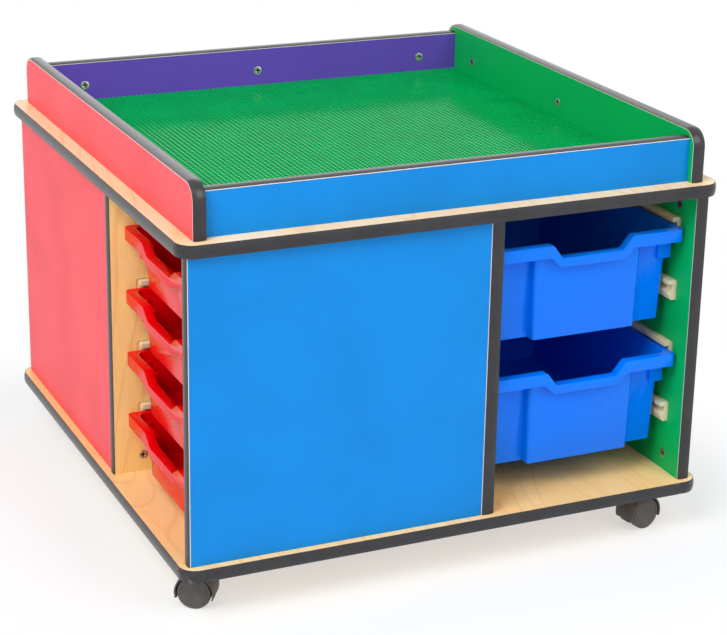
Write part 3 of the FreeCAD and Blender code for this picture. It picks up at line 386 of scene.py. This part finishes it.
for side in SIDES:
    plastic = tray_plastic(f"{side}_tray_plastic", TRAY_COLOURS[side])
    for node in [name for name in nodes if name.startswith(side) and "_tray_" in name]:
        tray = rounded_copy(node, f"{node}_moulding", TRAY_EDGE)
        coat(tray, plastic)
        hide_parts(node)
        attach(tray, node)

# Upstands
# Four low walls of coloured melamine round the top. The side ones have rounded ends, and the front and
# back ones stand between them. The pale core shows as a line beside their edging too.

UP = (0, 0, 1)
UPSTAND_BEND = 0.025


def side_upstand_core(finish):
    """The line inside the rounded outline of a side upstand."""
    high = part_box("left_upstand")[1]
    across = abs(finish.along(TO_BACK)) - (high.y - UPSTAND_BEND)
    above = finish.along(UP) - (high.z - UPSTAND_BEND)
    corner = (across.maths("MAXIMUM", 0.0) ** 2.0 + above.maths("MAXIMUM", 0.0) ** 2.0).maths("SQRT")
    inside = across.maths("MAXIMUM", above).maths("MINIMUM", 0.0)
    return corner + inside - UPSTAND_BEND > -CORE_LINE


def end_upstand_core(finish):
    """The line under the top edge of the front or back upstand."""
    return finish.along(UP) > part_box("front_upstand")[1].z - CORE_LINE


for side in SIDES:
    core = side_upstand_core if side in ("left", "right") else end_upstand_core
    dress([f"{side}_upstand"], melamine(f"{side}_upstand_melamine", PANEL_COLOURS[side], core))

# Building plates
# Four thin green moulded sheets glued to the table top, with rows of round studs at a pitch of 8 mm.
# The studs are set out from the joint between the plates, so that they run on from sheet to sheet, and
# their crowns are glossier than the sheet.

PLATE_GREEN = paint(0, 160, 83)
PLATE_LIGHT = paint(0, 168, 89)
STUD = {"Pitch": 0.008, "Radius": 0.0024, "Height": 0.0018, "Rounding": 0.0003}
STUD_ROWS = 47
STUD_SIDES = 10


def plate_plastic(name, roughness, gloss):
    """Green plastic with a slight cloud in its colour."""
    finish = Finish(name)
    tint = finish.noise(14.0, detail=3.0)
    grain = finish.noise(800.0)
    colour = finish.mix(PLATE_GREEN, PLATE_LIGHT, tint.ramp(0.35, 0.7))
    return finish.show(Base_Color=colour, Roughness=roughness + tint * 0.08, Specular_IOR_Level=gloss,
                       Normal=finish.bump(grain, strength=0.04, distance=0.0003))


def stud_tree(material):
    """Nodes that set a square of studs out from its middle."""
    group = bpy.data.node_groups.new("stud_rows", "GeometryNodeTree")
    group.interface.new_socket("Geometry", in_out="OUTPUT", socket_type="NodeSocketGeometry")
    group.interface.new_socket("Middle", in_out="INPUT", socket_type="NodeSocketVector")
    for name in STUD:
        group.interface.new_socket(name, in_out="INPUT", socket_type="NodeSocketFloat")
    group.interface.new_socket("Rows", in_out="INPUT", socket_type="NodeSocketInt")
    tree = Tree(group)
    middle, pitch, radius, height, rounding, rows = (
        tree.node("NodeGroupInput", output=name) for name in ("Middle", *STUD, "Rows"))

    def lifted(geometry, rise):
        upward = tree.node("ShaderNodeCombineXYZ", None, {"Z": rise})
        return tree.node("GeometryNodeTransform", None, {"Geometry": geometry, "Translation": upward})

    straight = height - rounding
    wall = tree.node("GeometryNodeMeshCylinder", {"fill_type": "NONE"},
                     {"Vertices": STUD_SIDES, "Radius": radius, "Depth": straight})
    crown = tree.node("GeometryNodeMeshCone", {"fill_type": "NGON"},
                      {"Vertices": STUD_SIDES, "Depth": rounding, "Radius Bottom": radius,
                       "Radius Top": radius - rounding})
    stud = tree.node("GeometryNodeJoinGeometry", None, {0: lifted(wall, straight * 0.5)})
    tree.feed(stud.socket.node.inputs[0], lifted(crown, straight))
    span = pitch * (rows - 1.0)
    grid = tree.node("GeometryNodeMeshGrid", None,
                     {"Size X": span, "Size Y": span, "Vertices X": rows, "Vertices Y": rows})
    set_out = tree.node("GeometryNodeTransform", None, {"Geometry": grid, "Translation": middle})
    studs = tree.node("GeometryNodeInstanceOnPoints", None, {"Points": set_out, "Instance": stud})
    real = tree.node("GeometryNodeRealizeInstances", None, {"Geometry": studs})
    coloured = tree.node("GeometryNodeSetMaterial", None, {"Geometry": real, "Material": material})
    tree.feed(group.nodes.new("NodeGroupOutput").inputs[0], coloured)
    return group


def grown(name, tree, values):
    """The plain mesh piece that a tree makes from its named inputs."""
    draft = bpy.data.objects.new(f"{name}_draft", bpy.data.meshes.new(f"{name}_draft"))
    bpy.context.scene.collection.objects.link(draft)
    modifier = draft.modifiers.new("tree", "NODES")
    modifier.node_group = tree
    sockets = {item.name: item.identifier for item in tree.interface.items_tree if item.in_out == "INPUT"}
    for label, value in values.items():
        modifier[sockets[label]] = value
    return plain_piece(name, draft)


sheet_green = plate_plastic("green_plate_sheet", roughness=0.4, gloss=0.0)
stud_green = plate_plastic("green_plate_studs", roughness=0.1, gloss=0.12)
studs_tree = stud_tree(stud_green.material)
for depth, y_sign in (("front", -1), ("back", 1)):
    for width, x_sign in (("left", -1), ("right", 1)):
        plate = f"building_plate_{depth}_{width}"
        dress([plate], sheet_green)
        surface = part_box(plate)[1].z
        reach = STUD["Pitch"] * STUD_ROWS / 2
        middle = (x_sign * reach, y_sign * reach, surface)
        studs = grown(f"studs_{depth}_{width}", studs_tree, {"Middle": middle, "Rows": STUD_ROWS, **STUD})
        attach(studs, "table")

# Cam fittings
# Die-cast zinc cams with a cross slot, set flush in the faces of the uprights and upstands. Each one
# turns on the head of a steel bolt that stands in a square board.

ZINC = paint(224, 218, 208)
STEEL = paint(206, 208, 212)
RECESS_SHADE = paint(44, 41, 38)
CAM_EDGE = 0.0004
CAM_FLUSH = 0.0006


def plated_metal(name, colour):
    """Plated metal, tarnished in spots, and painted dark as shade where the piece has a mark of sunk faces.
    """
    finish = Finish(name)
    tarnish = finish.noise(240.0, detail=3.0)
    sunk = finish.node("ShaderNodeAttribute", {"attribute_name": "sunk"}, output="Fac")
    tint = finish.mix(colour, shade(colour, 0.72), tarnish.ramp(0.45, 0.75))
    # The sunk faces, such as the cross slots, are painted dark as shade in the recesses.
    recess_shaded = finish.mix(tint, RECESS_SHADE, sunk)
    return finish.show(Base_Color=recess_shaded, Metallic=1.0, Roughness=0.28 + tarnish * 0.2 + sunk * 0.3,
                       Normal=finish.bump(tarnish, strength=0.1, distance=0.0003))


def mark_sunk(piece, flush):
    """Marks the faces that lie further than flush from every face of a board that they could lie in."""
    boards = [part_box(f"{side}_{kind}") for side in SIDES for kind in ("panel", "divider", "upstand")]
    marks = piece.data.attributes.new("sunk", "FLOAT", "FACE")
    for face, mark in zip(piece.data.polygons, marks.data):
        axis = 0 if abs(face.normal.x) > abs(face.normal.y) else 1
        depth = min(abs(face.center[axis] - corner[axis]) for board in boards for corner in board)
        mark.value = float(depth > flush)


cast_zinc = plated_metal("die_cast_zinc", ZINC)
cams = rounded_copy("cam_locks", "cam_castings", CAM_EDGE)
mark_sunk(cams, CAM_FLUSH)
coat(cams, cast_zinc)
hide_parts("cam_locks")
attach(cams, "table")
bright_steel = plated_metal("zinc_plated_steel", STEEL)
dress(["cam_bolts", "castor_plates", "castor_screws"], bright_steel)

# Castors
# Twin-wheel castors of dark grey nylon. A hood swivels on the stem of the plate, and both wheels turn
# on one steel axle through the web of the hood. The wheels are moulded with a ring round a flat cap.

CASTOR_CORNERS = ("front_left", "front_right", "back_right", "back_left")
NYLON_GREY = paint(70, 66, 65)
NYLON_DUSTY = paint(94, 90, 88)
DUST_HEIGHT = 0.03
HOOD_EDGE = 0.0007
WHEEL_STEPS = 72
WHEEL_CREASE = math.radians(35)
AXLE_BORE = 0.00305
BORE_END = 0.0165
TREAD_INNER = 0.0065
WHEEL_FACE = 0.0195
TREAD_ROUNDING = 0.003
ROUNDING_STEPS = 5
INNER_CHAMFER = 0.0006
CAP_RADIUS = 0.0185
RING_RADIUS = 0.0205
RING_DEPTH = 0.0005
CAP_DISH = 0.0004


def castor_nylon():
    """Matt grey nylon, with dust near the floor."""
    finish = Finish("castor_nylon")
    grain = finish.noise(700.0, detail=3.0, roughness=0.6)
    dust = finish.noise(60.0, detail=4.0, roughness=0.6)
    low = finish.along(UP).ramp(DUST_HEIGHT, 0.0)
    colour = finish.mix(NYLON_GREY, NYLON_DUSTY, dust.ramp(0.4, 0.7) * 0.4 + low * 0.2)
    return finish.show(Base_Color=colour, Roughness=0.5 + dust * 0.1,
                       Normal=finish.bump(grain, strength=0.12, distance=0.0004))


def wheel_profile(radius):
    """Half of a wheel's section from bore to cap, as (radius, distance from the middle of the castor)."""
    tread_end = WHEEL_FACE - TREAD_ROUNDING
    bends = [math.pi / 2 * step / ROUNDING_STEPS for step in range(ROUNDING_STEPS + 1)]
    rounded = [(radius - TREAD_ROUNDING * (1 - math.cos(bend)), tread_end + TREAD_ROUNDING * math.sin(bend))
               for bend in bends]
    sunk = WHEEL_FACE - RING_DEPTH
    return [(0.0, BORE_END), (AXLE_BORE, BORE_END), (AXLE_BORE, TREAD_INNER),
            (radius - INNER_CHAMFER, TREAD_INNER), (radius, TREAD_INNER + INNER_CHAMFER), *rounded,
            (RING_RADIUS, WHEEL_FACE), (RING_RADIUS - RING_DEPTH, sunk), (CAP_RADIUS + RING_DEPTH, sunk),
            (CAP_RADIUS, WHEEL_FACE), (0.0, WHEEL_FACE - CAP_DISH)]


def turned_wheels(name, hub, axle, radius):
    """Both wheels of a castor, turned about its axle."""
    mesh = bmesh.new()
    upward = Vector(UP)
    forward = axle.cross(upward)
    turns = [2 * math.pi * step / WHEEL_STEPS for step in range(WHEEL_STEPS)]
    spokes = [math.cos(turn) * upward + math.sin(turn) * forward for turn in turns]
    for side in (-1, 1):
        rings = []
        for reach, out in wheel_profile(radius):
            centre = hub + axle * (side * out)
            count = WHEEL_STEPS if reach else 1
            rings.append([mesh.verts.new(centre + reach * spoke) for spoke in spokes[:count]])
        for ring, following in zip(rings, rings[1:]):
            for step in range(WHEEL_STEPS):
                ends = (ring[step % len(ring)], ring[(step + 1) % len(ring)],
                        following[(step + 1) % len(following)], following[step % len(following)])
                mesh.faces.new(dict.fromkeys(ends))
    bmesh.ops.recalc_face_normals(mesh, faces=mesh.faces)
    piece = bpy.data.objects.new(name, bpy.data.meshes.new(name))
    mesh.to_mesh(piece.data)
    mesh.free()
    piece.data.shade_smooth()
    piece.data.set_sharp_from_angle(angle=WHEEL_CREASE)
    bpy.context.scene.collection.objects.link(piece)
    return piece


nylon = castor_nylon()
joints = {joint["name"]: joint for joint in frame["joints"]}
for corner in CASTOR_CORNERS:
    spin = joints[f"wheels_{corner}_spin"]
    hub, axle = Vector(spin["pos_m"]), Vector(spin["axis"])
    wheels = turned_wheels(f"turned_wheels_{corner}", hub, axle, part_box(f"castor_wheels_{corner}")[1].z / 2)
    hood = rounded_copy(f"castor_hood_{corner}", f"moulded_hood_{corner}", HOOD_EDGE)
    for piece, node, body in ((wheels, f"castor_wheels_{corner}", f"wheels_{corner}"),
                              (hood, f"castor_hood_{corner}", f"castor_{corner}")):
        coat(piece, nylon)
        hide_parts(node)
        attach(piece, body)
    dress([f"castor_axle_{corner}"], bright_steel)

# Studio
# A plain pale floor, white to the camera but still taking the table's shadow, three soft lamps and a
# camera at the height and angle of the photograph. The lamp behind gives the edging its sheen.

WHITE = (1, 1, 1, 1)
FLOOR_COLOUR = (0.87, 0.9, 0.93, 1.0)
FLOOR_ROUGHNESS = 0.8
FLOOR_REACH = 12.0
FLOOR_GLOW = 0.55
# The floor's glow rises to full between these distances from the middle, so that the shadow has room.
SHADOW_ROOM = (0.44, 0.75)
SKY_LIGHT = 0.42
LAMPS = {"key": {"spot": (-3.1, -2.1, 3.9), "target": (0, 0, 0.4), "size": 2.6, "power": 190},
         "fill": {"spot": (1.4, -3.6, 3.2), "target": (0, 0, 0.4), "size": 2.8, "power": 76},
         "back": {"spot": (1.5, 3.8, 1.7), "target": (0, 0, 0.5), "size": 2.6, "power": 15}}
CAMERA_SPOT = (-1.2851, -2.8939, 1.4218)
CAMERA_HEADING = math.radians(-24.38)
CAMERA_DIP = math.radians(19.19)
CAMERA_ROLL = math.radians(1.0)
CAMERA_REACH = 60.0
LENS = 102.9
SENSOR_WIDTH = 36.0
FRAME_SHIFT = (0.008, -0.0418)


def seen(tree):
    """1 for rays that show a surface to the camera, also by reflection or through something clear."""
    kinds = ("Is Camera Ray", "Is Glossy Ray", "Is Transmission Ray")
    camera, glossy, clear = (tree.node("ShaderNodeLightPath", output=kind) for kind in kinds)
    return (camera + glossy + clear).maths("MINIMUM", 1.0)


def studio_floor():
    """A square floor that glows white to the camera, less so near the table."""
    mesh = bpy.data.meshes.new("floor")
    corners = [(-1, -1), (1, -1), (1, 1), (-1, 1)]
    mesh.from_pydata([(x * FLOOR_REACH, y * FLOOR_REACH, 0) for x, y in corners], [], [(0, 1, 2, 3)])
    floor = bpy.data.objects.new("floor", mesh)
    bpy.context.scene.collection.objects.link(floor)
    finish = Finish("white_floor")
    finish.show(Base_Color=FLOOR_COLOUR, Roughness=FLOOR_ROUGHNESS)
    glow = finish.node("ShaderNodeEmission", None, {"Color": WHITE, "Strength": 1.0})
    away = abs(finish.along(TO_RIGHT)).maths("MAXIMUM", abs(finish.along(TO_BACK))).ramp(*SHADOW_ROOM)
    share = seen(finish) * (FLOOR_GLOW + (1 - FLOOR_GLOW) * away)
    surface = finish.node("ShaderNodeMixShader", None,
                          {0: share, 1: Wire(finish, finish.shader.outputs[0]), 2: glow})
    finish.feed(finish.tree.nodes["Material Output"].inputs["Surface"], surface)
    coat(floor, finish)


def studio_world():
    """A white sky, which lights the table at less than the strength that the camera sees."""
    world = bpy.data.worlds.new("studio")
    world.use_nodes = True
    sky = Tree(world.node_tree)
    background = world.node_tree.nodes["Background"]
    sky.feed(background.inputs["Color"], WHITE)
    sky.feed(background.inputs["Strength"], SKY_LIGHT + (1 - SKY_LIGHT) * seen(sky))
    bpy.context.scene.world = world


def lamp(name, spot, target, size, power):
    """A square lamp turned towards its target."""
    light = bpy.data.lights.new(name, "AREA")
    light.size = size
    light.energy = power
    holder = bpy.data.objects.new(name, light)
    holder.location = spot
    holder.rotation_euler = (Vector(target) - Vector(spot)).to_track_quat("-Z", "Y").to_euler()
    bpy.context.scene.collection.objects.link(holder)


def photo_camera():
    """The camera at the photograph's viewing angle."""
    camera = bpy.data.cameras.new("camera")
    camera.lens = LENS
    camera.sensor_width = SENSOR_WIDTH
    camera.shift_x, camera.shift_y = FRAME_SHIFT
    camera.clip_end = CAMERA_REACH
    holder = bpy.data.objects.new("camera", camera)
    heading = Matrix.Rotation(CAMERA_HEADING, 4, "Z")
    tilt = Matrix.Rotation(math.pi / 2 - CAMERA_DIP, 4, "X")
    roll = Matrix.Rotation(CAMERA_ROLL, 4, "Z")
    holder.matrix_world = Matrix.Translation(CAMERA_SPOT) @ heading @ tilt @ roll
    bpy.context.scene.collection.objects.link(holder)
    bpy.context.scene.camera = holder


studio_floor()
studio_world()
for name, values in LAMPS.items():
    lamp(name, **values)
photo_camera()
bpy.context.scene.view_settings.view_transform = "Standard"
